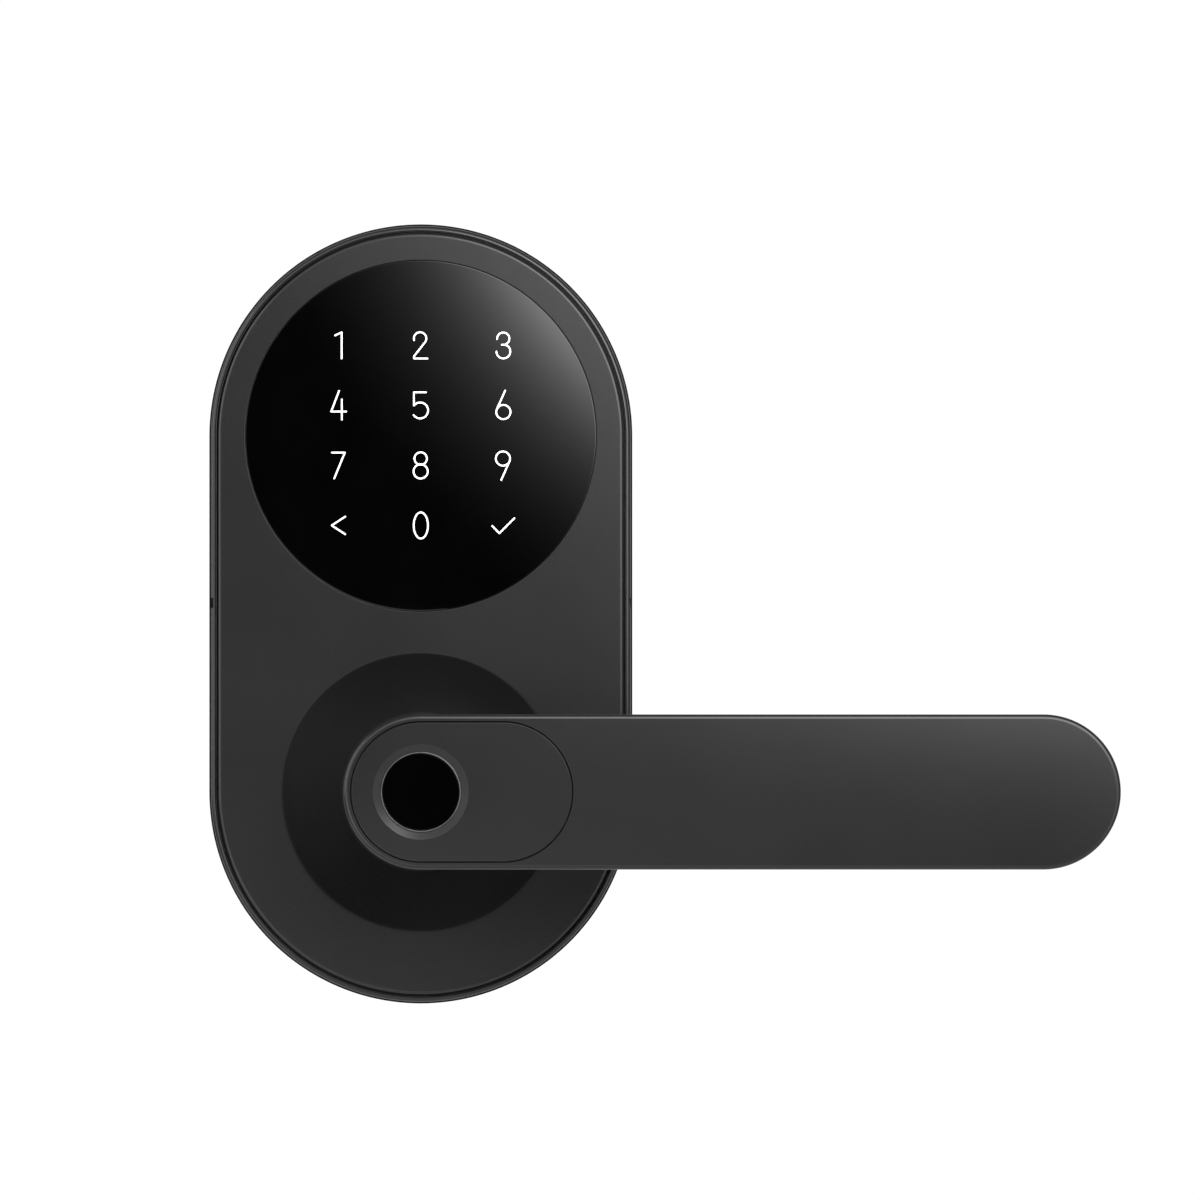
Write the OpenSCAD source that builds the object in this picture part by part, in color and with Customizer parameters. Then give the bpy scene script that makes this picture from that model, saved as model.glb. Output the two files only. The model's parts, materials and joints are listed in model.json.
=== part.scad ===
// Keypad smart lock, outside unit, with its lever, spindle and clutch.
// X runs along the lever, Z is up and the front faces -Y. The origin is where the spindle crosses the door.
// Pieces are drawn lying on the door, with z as the height above it, and stand() turns them upright.

/* [Case] */
// Width of the side band
case_w = 75.4; // [74:0.1:92]
// Height of the keypad's centre above the spindle
centre_rise = 64; // [62:0.5:80]
// Height of the front panel's face above the door
case_depth = 28; // [28:0.5:40]
// Thickness of the gasket on the door
gasket_t = 1.5; // [1:0.1:3]
// How far the gasket stands out past the side band
gasket_lip = 0.3; // [0.1:0.05:0.5]
// Width of the gasket between its two outlines
gasket_w = 8; // [6:0.5:9]
// Thickness of the side band's wall
band_wall = 2.6; // [2.2:0.1:3.5]
// Width of the side band's front rim
rim_w = 1; // [0.6:0.1:1.2]
// How far the rim lies below the front panel's face
rim_drop = 0.4; // [0.2:0.1:1]
// Rounding of the side band's front edge
band_edge = 0.8; // [0.4:0.1:0.9]
// Gap between the rim and the front panel
seam_gap = 0.25; // [0.15:0.05:0.4]
// Thickness of the front panel
panel_t = 2.2; // [1.8:0.1:3]
// Rounding of the front panel's edge
panel_edge = 0.6; // [0.3:0.1:1]
// Thickness of the back plate
plate_t = 2; // [1.6:0.1:3]
// Gap between the back plate and the side band
plate_gap = 0.1; // [0.05:0.05:0.3]
// Height of the side notches above the spindle
notch_rise = 34; // [20:0.5:44]
// Length of a side notch
notch_len = 1.8; // [1:0.1:3]

/* [Dish] */
// Diameter of the dish at the front face
dish_d = 49.8; // [46:0.1:54]
// Depth of the dish
dish_depth = 7; // [5:0.5:7.5]
// Thickness of the dish's wall
dish_wall = 2; // [1.5:0.1:2.2]
// Width of the dish's flat floor outside the neck bush
floor_margin = 0.5; // [0.3:0.1:2]

/* [Keypad] */
// Diameter of the glass
glass_d = 63; // [52:0.1:65]
// Thickness of the glass at its edge
glass_t = 1.6; // [1.2:0.1:2.4]
// How far the middle of the glass stands above its edge
glass_crown = 0.7; // [0.2:0.1:1.5]
// Gap round the glass
glass_gap = 0.1; // [0.05:0.05:0.3]
// Thickness of the bond under the glass
bond_t = 0.3; // [0.2:0.05:0.5]
// Width of the ledge that the glass sits on
seat_w = 2.2; // [1.8:0.1:3]
// Distance from the board's edge to the centre of a corner key
key_margin = 6.85; // [6:0.05:9]
// Distance between two rows of keys as a share of that between two columns
key_aspect = 0.73; // [0.6:0.01:0.75]
// Width of a character's stroke
stroke = 0.5; // [0.3:0.05:0.8]
// Thickness of the printed characters
print_t = 0.2; // [0.1:0.05:0.2]
// Thickness of a circuit board
board_t = 1.6; // [1:0.1:2]
// Height of the light mask
mask_t = 3.1; // [2.4:0.1:4]
// Radius of a window in the light mask
window_r = 3.6; // [3:0.1:4]

/* [Lever] */
// Distance from the spindle's axis to the lever's tip
lever_reach = 125.8; // [90:0.5:152]
// Height of the lever seen from the front
lever_h = 27.9; // [23:0.1:34]
// Thickness of the lever
lever_t = 12.5; // [11:0.5:18]
// Clear depth between the front panel and the lever
lever_gap = 24; // [18:0.5:40]
// Rounding of the lever's front edge
lever_edge = 0.8; // [0.4:0.1:2]
// Rounding of the lever's back edge
lever_back_edge = 2; // [0.5:0.1:4]
// Diameter of the lever's neck
neck_d = 23; // [19:0.5:27]
// Width of the lever's face round the face plate
pad_margin = 1.45; // [1.2:0.05:2.4]
// Distance between the centres of the face plate's ends
pad_run = 14.7; // [10:0.1:30]
// Thickness of the face plate
pad_t = 1.6; // [1.2:0.1:2.5]
// Gap round the face plate
pad_gap = 0.2; // [0.1:0.05:0.4]
// Diameter of the fingerprint sensor's glass
sensor_d = 14; // [11:0.1:17]
// Width of the countersink round the sensor
sink_w = 1.3; // [0.6:0.1:2]
// Depth of the sensor's face below the face plate
sink_depth = 0.8; // [0.4:0.1:1]
// Width of the bright ring round the sensor
ring_w = 0.2; // [0.1:0.05:0.4]

/* [Spindle and clutch] */
// Width of the square spindle
spindle_w = 8; // [6.5:0.1:9.6]
// How far the spindle stands behind the door's face
spindle_reach = 50; // [40:1:80]
// Clearance between the spindle's corners and the drive hub
hub_room = 0.54; // [0.3:0.01:0.9]
// Wall of the drive hub
hub_wall = 2.3; // [1.8:0.1:2.6]
// Travel of the clutch
clutch_travel = 2.2; // [1.8:0.1:2.6]
// Thickness of the clutch plate
clutch_t = 2; // [1.6:0.1:2.6]
// Rim of the clutch plate outside its dogs
clutch_rim = 2.1; // [2:0.1:3]
// How far the lever turns each way
lever_turn = 45; // [30:1:50]
// Clearance round a running shaft
running_gap = 0.05; // [0.02:0.01:0.1]
// Clearance between sliding faces
slide_gap = 0.1; // [0.05:0.05:0.3]

/* [Fixings] */
// Distance between the two mounting posts
post_pitch = 38; // [36:0.5:44]
// Length of a mounting post behind the door's face
post_len = 18; // [12:1:24]
// Radius of a mounting post
post_r = 4; // [3.5:0.1:5]
// Radius of the tapped hole in a mounting post
post_bore_r = 2.1; // [1.6:0.1:2.1]
// Radius of a case screw's shank
screw_r = 1.2; // [1:0.1:1.4]
// Length of a case screw under its head
screw_len = 10; // [6:0.5:14]
// Radius of a small screw's shank
small_screw_r = 0.95; // [0.8:0.05:1]

/* [Hidden] */

fine = 128;
round_fn = 64;
small_fn = 32;
crown_steps = 12;
cut = 1;
drill_len = 200;

// Outlines of the case, as end radii of its stadium
band_r = case_w / 2;
gasket_r = band_r + gasket_lip;
pocket_r = band_r - rim_w;
panel_r = pocket_r - seam_gap;
inner_r = band_r - band_wall;
plate_r = inner_r - plate_gap;

// Heights above the door
plate_front = gasket_t + plate_t;
panel_back = case_depth - panel_t;
rim_front = case_depth - rim_drop;
dish_floor = case_depth - dish_depth;
dish_back = dish_floor - dish_wall;
lever_back = case_depth + lever_gap;
lever_front = lever_back + lever_t;

// Lever neck and its bush
neck_r = neck_d / 2;
bush_wall = 1.25;
bush_flange_t = 1;
bush_flange_w = 0.9;
bush_r = neck_r + running_gap + bush_wall;

// The dish is part of a sphere whose centre lies in front of the panel
dish_r = dish_d / 2;
dish_floor_r = bush_r + bush_flange_w + floor_margin;
dish_centre = case_depth + (dish_r ^ 2 - dish_floor_r ^ 2 - dish_depth ^ 2) / (2 * dish_depth);
dish_sphere_r = norm([dish_r, dish_centre - case_depth]);

// Keypad stack, from the glass back to the board
glass_r = glass_d / 2;
glass_back = case_depth - glass_t;
glass_sphere_r = (glass_r ^ 2 + glass_crown ^ 2) / (2 * glass_crown);
seat_top = glass_back - bond_t;
seat_t = 2;
seat_bore_r = glass_r - seat_w;
seat_rim_r = glass_r + 1.6;
mask_r = seat_bore_r - 0.5;
mask_back = seat_top - mask_t;
bond_in_r = mask_r - 1.5;
board_back = mask_back - board_t;
board_screw_ring = mask_r - 2.8;
column_pitch = (mask_r - key_margin) / norm([1, 1.5 * key_aspect]);
row_pitch = key_aspect * column_pitch;
led_t = 0.7;
diffuser_t = 1;

// Case screws and their bosses
boss_r = screw_r + 1.2;
boss_gap = 0.5;
boss_ring = inner_r - boss_r - boss_gap;
low_boss_ring = inner_r - boss_r - 2;
screw_gap = 0.05;
head_t = 1.2;
head_r = screw_r + 1.1;
BOSSES = [
    [boss_ring * cos(45), centre_rise + boss_ring * sin(45)],
    [inner_r - boss_r - 1.2, centre_rise / 2],
    [low_boss_ring * cos(45), -low_boss_ring * sin(45)]
];

// Drive hub round the spindle, and the dogs outside it
hub_bore_r = norm([spindle_w, spindle_w]) / 2 + hub_room;
hub_r = hub_bore_r + hub_wall;
dog_in = hub_r + 0.5;
dog_out = dog_in + 2.1;
dog_w = 4;
dog_gap = 0.2;
clutch_r = dog_out + clutch_rim;

// Clutch stack, in its driving state
fork_t = clutch_t + 1.2;
fork_z = plate_front + 0.5 + clutch_travel;
disc_z = fork_z + (fork_t - clutch_t) / 2;
flange_z = fork_z + fork_t + 0.5;
flange_t = 2.6;
flange_r = hub_r + 3.9;
release_gap = 0.3;
dog_top = flange_z + clutch_travel - release_gap;

// Return spring, its cage and the lugs that it acts on
wire_r = 0.45;
coil_r = hub_r + 1.8;
coil_turns = 2;
coil_rise = 2;
coil_z = flange_z + flange_t + 0.9;
cage_top = coil_z + coil_rise + 0.9;
cage_top_t = 1.3;
cage_r = clutch_r + 5.3;
cage_wall = 1.5;
lug_w = 4.4;
lug_in = hub_r + 2.5;
lug_out = lug_in + 3;
anchor_in = lug_out + 0.4;
leg_x = lug_w / 2 + wire_r + 0.3;
leg_end = lug_out + 2;
stop_in = flange_r + 0.3;
stop_out = stop_in + 2.8;
stop_block_angle = 10;
foot_ring = cage_r + 3.1;
foot_r = 3.4;
foot_t = 1.6;

// Lever on its neck, and the hub inside
neck_low = cage_top + cage_top_t + 0.4;
hub_top = lever_back + 2;
lever_r = lever_h / 2;
lever_run = lever_reach - lever_r;
grub_r = 1.5;
grub_z = lever_back - 8;

// Sensor stack, from the face plate back
pad_r = lever_r - pad_margin;
pad_back = lever_front - pad_t;
pocket_floor = pad_back - bond_t;
sensor_r = sensor_d / 2;
ring_r = sensor_r + ring_w;
ring_gap = 0.05;
sink_r = ring_r + ring_gap + sink_w;
sensor_face = lever_front - sink_depth;
sensor_flange_r = ring_r + 1.4;
sensor_glass_t = 1.6;
sensor_seat = sensor_face - sensor_glass_t;
sensor_flange_t = 0.6;
sensor_board_t = 1.2;
sensor_well_floor = sensor_seat - sensor_flange_t - sensor_board_t;
sensor_board_r = sensor_flange_r + 0.4;
lead_r = 1.1;
spindle_top = dog_top + 1.2;

// Motor and its bracket, above the cage
motor_y = cage_r + 8.5;
motor_z = flange_z;
motor_w = 12;
motor_h = 10;
motor_len = 10.8;
motor_shaft_r = 1.2;
bracket_t = 0.8;
bracket_half = 9.5;
bracket_foot = 4.6;
guide_y = cage_r + 2.7;
guide_r = 1.5;
nut_r = 3.4;
stem_w = 7;

// Inlet for the lead and the emergency power port
inlet_w = 14;
inlet_h = 6;
grommet_lip_t = 0.6;
grommet_lip = 0.8;
grommet_wall = 1.2;
inlet_y = -cage_r - grommet_lip - inlet_h / 2;
port_z = 13;
port_w = 9.8;
port_h = 4.2;
port_skin = 1.4;
socket_w = 9;
socket_h = 3.2;
socket_len = 7.3;
socket_wall = 0.3;
port_board_t = 1;

// Middles of the chips, sockets and buzzer as shares of the board's radius, with their sizes
CHIPS = [[0, 0.156, 7, 7, 0.9], [0.417, -0.33, 6, 5, 1.2], [0, 0.625, 12, 8, 2.2]];
SOCKETS = [[0, -0.686, 10], [0.365, -0.616, 5], [-0.469, -0.477, 5]];
socket_h_in = 3.3;
socket_depth = 4;
socket_side = 0.6;
buzzer_r = 4.5;
buzzer_t = 3;
BUZZER_AT = [-0.521, -0.104];

// Small fits and places that several pieces share
spigot_r = post_r - 1;
collar_flange_t = 0.8;
collar_r = norm([spindle_w, spindle_w]) / 2 + 1.2;
collar_flange_r = collar_r + 1.6;
fork_bore_r = clutch_r - 1.5;
guide_step = 0.5;
stop_angle = lever_turn + asin(lug_w / 2 / stop_in) + 1;
bush_low = neck_low - 0.1;
board_screw_bite = 2.6;
small_head_r = 1.9;
small_head_t = 1.2;
small_screw_gap = 0.4;
led_w = 1.6;
stem_gap = 0.6;
anchor_z = flange_z + flange_t + 0.4;
anchor_h = cage_top + cage_top_t / 2 - anchor_z;
port_board_gap = 0.6;
sink_rim = 0.05;
grub_sink = 0.4;
fork_rim = 1.9;
fork_drop = 3;
fork_groove_gap = 0.3;
motor_screw_z = plate_front + 0.5;
bracket_screw_x = bracket_half + bracket_foot / 2;
lead_channel_r = 2.6;
pad_edge = 0.15;
notch_depth = 6;
notch_bite = 0.4;
motor_grip = 1.8;
port_mouth_y = -inner_r + 0.5;
port_board_w = 12;
port_board_z = port_z - socket_h / 2 - port_board_t;
port_pillar_x = 4.5;
port_pillar_r = 1.2;
port_pillar_y = inlet_y - inlet_h / 2 - grommet_lip - port_pillar_r - 0.8;
port_board_y = port_mouth_y + port_board_gap;
port_board_len = port_pillar_y + port_pillar_r + 1.4 - port_board_y;

// Path of the spring's wire: a leg in, the coils round the hub and a leg out
leg_angle = asin(leg_x / coil_r);
coil_sweep = 360 * coil_turns - 2 * leg_angle;
coil_steps = 44;
SPRING_PATH = concat(
    [[leg_x, leg_end, coil_z]],
    [for (i = [0:coil_steps]) let (a = 90 - leg_angle - coil_sweep * i / coil_steps)
        [coil_r * cos(a), coil_r * sin(a), coil_z + coil_rise * i / coil_steps]],
    [[-leg_x, leg_end, coil_z + coil_rise]]
);
wire_sides = 8;

SHELL = "#2f3031";
STEEL = "#9a9ca0";
BOARD = "#1f4d33";
RUBBER = "#151515";
BLACK = "#0b0b0c";

// Turns a piece drawn lying on the door upright, with its front facing -Y
module stand() rotate([90, 0, 0]) children();

// Flat stadium whose ends are centred on the origin and at a distance along X
module stadium(r, run) {
    circle(r, $fn = fine);
    translate([run, 0]) circle(r, $fn = fine);
    translate([0, -r]) square([run, 2 * r]);
}

// Solid stadium that stands upright from the spindle to the keypad's centre
module case_block(r, z, h) {
    translate([0, 0, z]) linear_extrude(h) rotate(90) stadium(r, centre_rise);
}

// Half of a slab's section, with its low and high outer edges rounded
module edge_section(r, h, low, high) {
    translate([0, low]) square([r, h - low - high]);
    square([r - low, h - high]);
    translate([0, low]) square([r - high, h - low]);
    if (low > 0) translate([r - low, low]) circle(low, $fn = small_fn);
    if (high > 0) translate([r - high, h - high]) circle(high, $fn = small_fn);
}

// Half of a slab's round end, turned about the height
module half_round(r, h, low, high) {
    rotate_extrude(angle = 180, $fn = fine) edge_section(r, h, low, high);
}

// Stadium slab along X with rounded edges
module rounded_slab(r, run, h, low, high) {
    rotate(90) half_round(r, h, low, high);
    translate([run, 0, 0]) rotate(-90) half_round(r, h, low, high);
    rotate([90, 0, 90]) linear_extrude(run) {
        edge_section(r, h, low, high);
        mirror([1, 0]) edge_section(r, h, low, high);
    }
}

// Round disc or rod that starts at height z
module disc(r, z, h, fn = round_fn) {
    translate([0, 0, z]) cylinder(r = r, h = h, $fn = fn);
}

// Long round or six-sided cutter, open at both ends
module drill(r, fn = small_fn) {
    disc(r, -drill_len / 2, drill_len, fn);
}

// Radial cutter or rod that points down from the spindle's axis
module radial(r, from, length, fn = small_fn) {
    rotate([90, 0, 0]) disc(r, from, length, fn);
}

// Block centred on the X axis that spans y and z
module block(w, y, length, z, h) {
    translate([-w / 2, y, z]) cube([w, length, h]);
}

// Places a child at each case screw
module at_bosses() {
    for (side = [-1, 1], spot = BOSSES) translate([side * spot[0], spot[1], 0]) children();
}

// Places a child at each of four spots on a circle
module at_four(ring_r, first) {
    for (i = [0:3]) rotate(first + 90 * i) translate([ring_r, 0, 0]) children();
}

// Places a child on the left and on the right
module at_sides(x, y = 0) {
    for (side = [-1, 1]) translate([side * x, y, 0]) children();
}

// Moves a child to the keypad's centre
module at_keypad(z = 0) {
    translate([0, centre_rise, z]) children();
}

// Screw with its head's underside at the origin and its shank downwards
module screw(r, length, cap_r, cap_t) {
    difference() {
        union() {
            disc(r, -length, length, small_fn);
            disc(cap_r, 0, cap_t, small_fn);
        }
        disc(cap_r / 2, cap_t / 2, cap_t, 6);
    }
}

// Sector of a disc between two angles less than half a turn apart
module sector(r, from, to) {
    reach = 1.2 * r;
    turns = [for (i = [0:4]) from + (to - from) * i / 4];
    polygon(concat([[0, 0]], [for (a = turns) reach * [cos(a), sin(a)]]));
}

// ---- Case ----

module door_gasket() color(RUBBER) stand() difference() {
    case_block(gasket_r, 0, gasket_t);
    case_block(gasket_r - gasket_w, -cut, gasket_t + 2 * cut);
}

module back_plate() color(STEEL) stand() {
    difference() {
        case_block(plate_r, gasket_t, plate_t);
        drill(collar_r + running_gap, round_fn);
        at_sides(post_pitch / 2) drill(spigot_r + screw_gap);
        inlet(0, 0, 2 * plate_front);
        at_bosses() {
            drill(screw_r + screw_gap);
            disc(head_r + screw_gap, 0, gasket_t + head_t, small_fn);
        }
        at_four(foot_ring, 45) drill(small_screw_r + screw_gap);
        at_sides(bracket_screw_x, motor_y) drill(small_screw_r + screw_gap);
        translate([0, guide_y, 0]) drill(guide_r - guide_step);
    }
    at_sides(port_pillar_x, port_pillar_y)
        disc(port_pillar_r, plate_front, port_board_z - plate_front, small_fn);
}

module side_band() color(SHELL) stand() difference() {
    translate([0, 0, gasket_t]) rotate(90)
        rounded_slab(band_r, centre_rise, rim_front - gasket_t, 0, band_edge);
    case_block(inner_r, gasket_t - cut, case_depth);
    case_block(pocket_r, panel_back, case_depth);
    port_slot(port_w, port_h, -band_r - cut, band_wall + 4 * cut);
    at_sides(band_r, notch_rise)
        block(2 * notch_bite, -notch_len / 2, notch_len, rim_front - notch_depth, notch_depth + cut);
}

module front_panel() color(SHELL) stand() difference() {
    union() {
        translate([0, 0, panel_back]) rotate(90) rounded_slab(panel_r, centre_rise, panel_t, 0, panel_edge);
        at_keypad() disc(seat_rim_r, seat_top - seat_t, panel_back - seat_top + seat_t, fine);
        intersection() {
            translate([0, 0, dish_centre]) sphere(dish_sphere_r + dish_wall, $fn = fine);
            disc(dish_r + 2 * dish_wall, dish_back, case_depth - dish_back - panel_edge, fine);
        }
        at_bosses() disc(boss_r, plate_front, panel_back + panel_t / 2 - plate_front, small_fn);
    }
    at_keypad() {
        disc(glass_r + glass_gap, seat_top, case_depth, fine);
        drill(seat_bore_r, fine);
    }
    intersection() {
        translate([0, 0, dish_centre]) sphere(dish_sphere_r, $fn = fine);
        disc(dish_r + dish_wall, dish_floor, dish_depth + cut, fine);
    }
    drill(bush_r + screw_gap, round_fn);
    at_bosses() disc(screw_r + screw_gap, plate_front - cut, screw_len + cut, small_fn);
}

// Height of the glass's crowned face above its back, at a distance from its middle
function crown_at(x) = glass_t + glass_crown - glass_sphere_r + sqrt(glass_sphere_r ^ 2 - x ^ 2);

module keypad_glass() color(BLACK) stand() at_keypad(glass_back) rotate_extrude($fn = fine)
    polygon(concat([[0, 0], [glass_r, 0]],
        [for (i = [crown_steps:-1:0]) let (x = glass_r * i / crown_steps) [x, crown_at(x)]]));

module glass_adhesive() color(BLACK) stand() at_keypad() difference() {
    disc(glass_r - glass_gap, seat_top, bond_t, fine);
    drill(bond_in_r, fine);
}

// ---- Keypad ----

// Columns count from the left and rows from the top
module at_key(column, row) {
    translate([(column - 1) * column_pitch, centre_rise + (1.5 - row) * row_pitch, 0]) children();
}

module at_keys() {
    for (column = [0:2], row = [0:3]) at_key(column, row) children();
}

// Straight stroke with round ends
module bar(from, to) {
    run = norm(to - from);
    translate(from) rotate(atan2(to[1] - from[1], to[0] - from[0])) {
        translate([0, -stroke / 2]) square([run, stroke]);
        circle(d = stroke, $fn = small_fn);
        translate([run, 0]) circle(d = stroke, $fn = small_fn);
    }
}

// Ring stroke
module ring(centre, r) {
    translate(centre) difference() {
        circle(r + stroke / 2, $fn = round_fn);
        circle(r - stroke / 2, $fn = round_fn);
    }
}

// Curved stroke with round ends, counter-clockwise between two angles
module bow(centre, r, from, to) {
    middle = (from + to) / 2;
    translate(centre) {
        intersection() {
            ring([0, 0], r);
            union() {
                sector(r + stroke, from, middle);
                sector(r + stroke, middle, to);
            }
        }
        for (a = [from, to]) translate(r * [cos(a), sin(a)]) circle(d = stroke, $fn = small_fn);
    }
}

// Upright oval stroke
module oval(rx, ry) {
    difference() {
        polygon([for (a = [0:7.5:359]) [(rx + stroke / 2) * cos(a), (ry + stroke / 2) * sin(a)]]);
        polygon([for (a = [0:7.5:359]) [(rx - stroke / 2) * cos(a), (ry - stroke / 2) * sin(a)]]);
    }
}

module character(name) {
    if (name == "1") {
        bar([-0.6, 1.85], [0.57, 2.4]);
        bar([0.57, 2.4], [0.57, -2.3]);
    }
    if (name == "2") {
        bow([-0.13, 1.3], 1.12, -32, 196);
        bar([0.82, 0.7], [-1.22, -1.9]);
        bar([-1.22, -1.9], [-1.22, -2.3]);
        bar([-1.22, -2.3], [1.2, -2.3]);
    }
    if (name == "3") {
        bow([0.02, 1.27], 1.1, -62, 184);
        bar([-0.26, 0.18], [0.4, 0.18]);
        bow([0.04, -1.04], 1.25, -180, 76);
    }
    if (name == "4") {
        bar([0.11, 2.7], [-1.3, -1]);
        bar([-1.3, -1.03], [1.4, -1.03]);
        bar([0.6, 1.15], [0.6, -2.5]);
    }
    if (name == "5") {
        bar([-1.24, 2.42], [0.93, 2.42]);
        bar([-1.24, 2.42], [-1.24, 0.07]);
        bow([-0.12, -0.84], 1.43, -144, 141);
    }
    if (name == "6") {
        ring([0.04, -1.12], 1.28);
        bar([0.35, 2.73], [-1.13, -0.6]);
    }
    if (name == "7") {
        bar([-1.17, 2.39], [1.14, 2.39]);
        bar([1.14, 2.39], [-0.75, -2.25]);
    }
    if (name == "8") {
        ring([-0.03, 1.32], 1.12);
        ring([-0.03, -0.99], 1.28);
    }
    if (name == "9") translate([0, 0.2]) rotate(180) character("6");
    if (name == "0") translate([0, 0.1]) oval(1.28, 2.35);
    if (name == "back") {
        bar([1.2, 1.68], [-1.22, 0.1]);
        bar([-1.22, 0.1], [1.2, -1.48]);
    }
    if (name == "tick") {
        bar([-1.95, 0], [-0.68, -1.29]);
        bar([-0.68, -1.29], [2, 1.39]);
    }
}

KEYS = [["1", "2", "3"], ["4", "5", "6"], ["7", "8", "9"], ["back", "0", "tick"]];

module key_legends() color("white") stand() for (row = [0:3], column = [0:2])
    at_key(column, row) translate([0, 0, glass_back - print_t])
        linear_extrude(print_t) character(KEYS[row][column]);

module light_mask() color(BLACK) stand() difference() {
    at_keypad() disc(mask_r, mask_back, mask_t, fine);
    at_keys() drill(window_r);
    at_keypad() at_four(board_screw_ring, 0)
        disc(small_screw_r + screw_gap, mask_back - cut, board_screw_bite + cut, small_fn);
}

module light_diffusers() color("white") stand() at_keys()
    disc(window_r - slide_gap, seat_top - diffuser_t, diffuser_t, small_fn);

module key_leds() color("ivory") stand() at_keys() block(led_w, -led_w / 4, led_w / 2, mask_back, led_t);

module keypad_board() color(BOARD) stand() at_keypad() difference() {
    disc(mask_r, board_back, board_t, fine);
    at_four(board_screw_ring, 0) drill(small_screw_r + screw_gap);
}

// Moves a child to a place on the board's back that is a share of the board's radius
module at_board(spot, depth) {
    at_keypad(board_back - depth) translate([mask_r * spot[0], mask_r * spot[1], 0]) children();
}

module board_chips() color(BLACK) stand() for (chip = CHIPS)
    at_board(chip, chip[4]) block(chip[2], -chip[3] / 2, chip[3], 0, chip[4]);

module buzzer() color(BLACK) stand() at_board(BUZZER_AT, buzzer_t) difference() {
    disc(buzzer_r, 0, buzzer_t);
    disc(buzzer_r / 6, -cut, 2 * cut, small_fn);
}

// Connectors for the leads of the inside unit, the motor and the sensor
module board_sockets() color("ivory") stand() for (spot = SOCKETS)
    at_board(spot, socket_depth) difference() {
        block(spot[2], -socket_h_in / 2 - socket_side, socket_h_in + 2 * socket_side, 0, socket_depth);
        block(spot[2] - 2 * socket_side, -socket_h_in / 2, socket_h_in,
            -cut, socket_depth - socket_side + cut);
    }

module board_screws() color(STEEL) stand() at_keypad(board_back) at_four(board_screw_ring, 0)
    mirror([0, 0, 1])
        screw(small_screw_r, board_t + board_screw_bite - small_screw_gap, small_head_r, small_head_t);

// ---- Fixings of the case ----

module case_screws() color(STEEL) stand() at_bosses() translate([0, 0, gasket_t + head_t]) mirror([0, 0, 1])
    screw(screw_r, screw_len - small_screw_gap, head_r, head_t);

module neck_bush() color("#3a3a3c") stand() difference() {
    union() {
        disc(bush_r, bush_low, dish_floor - bush_low);
        disc(bush_r + bush_flange_w, dish_floor, bush_flange_t);
    }
    drill(neck_r + running_gap, round_fn);
}

module mounting_posts() color(STEEL) stand() at_sides(post_pitch / 2) difference() {
    union() {
        disc(post_r, -post_len, post_len + gasket_t);
        disc(spigot_r, 0, plate_front);
    }
    drill(post_bore_r, round_fn);
}

// Flat-bottomed slot of the lead's inlet, grown or shrunk by a margin
module inlet(margin, z, h) {
    translate([-(inlet_w - inlet_h) / 2, inlet_y, z]) linear_extrude(h)
        stadium(inlet_h / 2 + margin, inlet_w - inlet_h);
}

module cable_grommet() color(RUBBER) stand() difference() {
    union() {
        inlet(grommet_lip, gasket_t - grommet_lip_t, grommet_lip_t);
        inlet(-screw_gap, gasket_t, plate_t);
        inlet(grommet_lip, plate_front, grommet_lip_t);
    }
    inlet(-grommet_wall, -cut, 3 * plate_front);
}

// ---- Return spring and its cage ----

module spring_cage() color(STEEL) stand() {
    difference() {
        union() {
            disc(cage_r, plate_front, cage_top + cage_top_t - plate_front, fine);
            at_four(foot_ring, 45) {
                disc(foot_r, plate_front, foot_t, small_fn);
                translate([cage_r - foot_ring - cage_wall / 2, -foot_r, plate_front])
                    cube([foot_ring - cage_r + cage_wall / 2, 2 * foot_r, foot_t]);
            }
        }
        disc(cage_r - cage_wall, plate_front - cut, cage_top - plate_front + cut, fine);
        drill(hub_r + running_gap, round_fn);
        block(stem_w + 2 * stem_gap, 0, 2 * cage_r, 0, fork_z + fork_t + stem_gap / 2);
        at_four(foot_ring, 45) drill(small_screw_r + screw_gap);
    }
    // Anchor between the spring's two legs
    block(lug_w, anchor_in, cage_r - cage_wall / 2 - anchor_in, anchor_z, anchor_h);
    // Stops for the lug at the bottom of the hub
    for (side = [-1, 1]) translate([0, 0, flange_z]) linear_extrude(flange_t) intersection() {
        difference() {
            circle(cage_r - cage_wall / 2, $fn = fine);
            circle(stop_in, $fn = fine);
        }
        sector(cage_r, -90 + side * stop_angle, -90 + side * (stop_angle + stop_block_angle));
    }
}

module cage_screws() color(STEEL) stand() translate([0, 0, plate_front + foot_t]) at_four(foot_ring, 45)
    screw(small_screw_r, foot_t + plate_t - small_screw_gap, small_head_r, small_head_t);

function unit(v) = v / norm(v);
function heading(path, i) = unit(path[min(i + 1, len(path) - 1)] - path[max(i - 1, 0)]);
function spoke(side, up, k) = side * cos(360 * k / wire_sides) + up * sin(360 * k / wire_sides);
function wire_ring(path, i) =
    let (ahead = heading(path, i), side = unit(cross(ahead, [0, 0, 1])), up = cross(side, ahead))
    [for (k = [0:wire_sides - 1]) path[i] + wire_r * spoke(side, up, k)];

module wire(path) {
    last = len(path) - 1;
    corners = [0:wire_sides - 1];
    points = [for (i = [0:last]) each wire_ring(path, i)];
    walls = [for (i = [0:last - 1], k = corners) let (m = (k + 1) % wire_sides, low = i * wire_sides)
        [low + k, low + m, low + wire_sides + m, low + wire_sides + k]];
    near_end = [for (k = corners) wire_sides - 1 - k];
    far_end = [for (k = corners) last * wire_sides + k];
    polyhedron(points, concat(walls, [near_end, far_end]), convexity = 6);
}

module return_spring() color("silver") stand() wire(SPRING_PATH);

// ---- Motor, bracket and port ----

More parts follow.
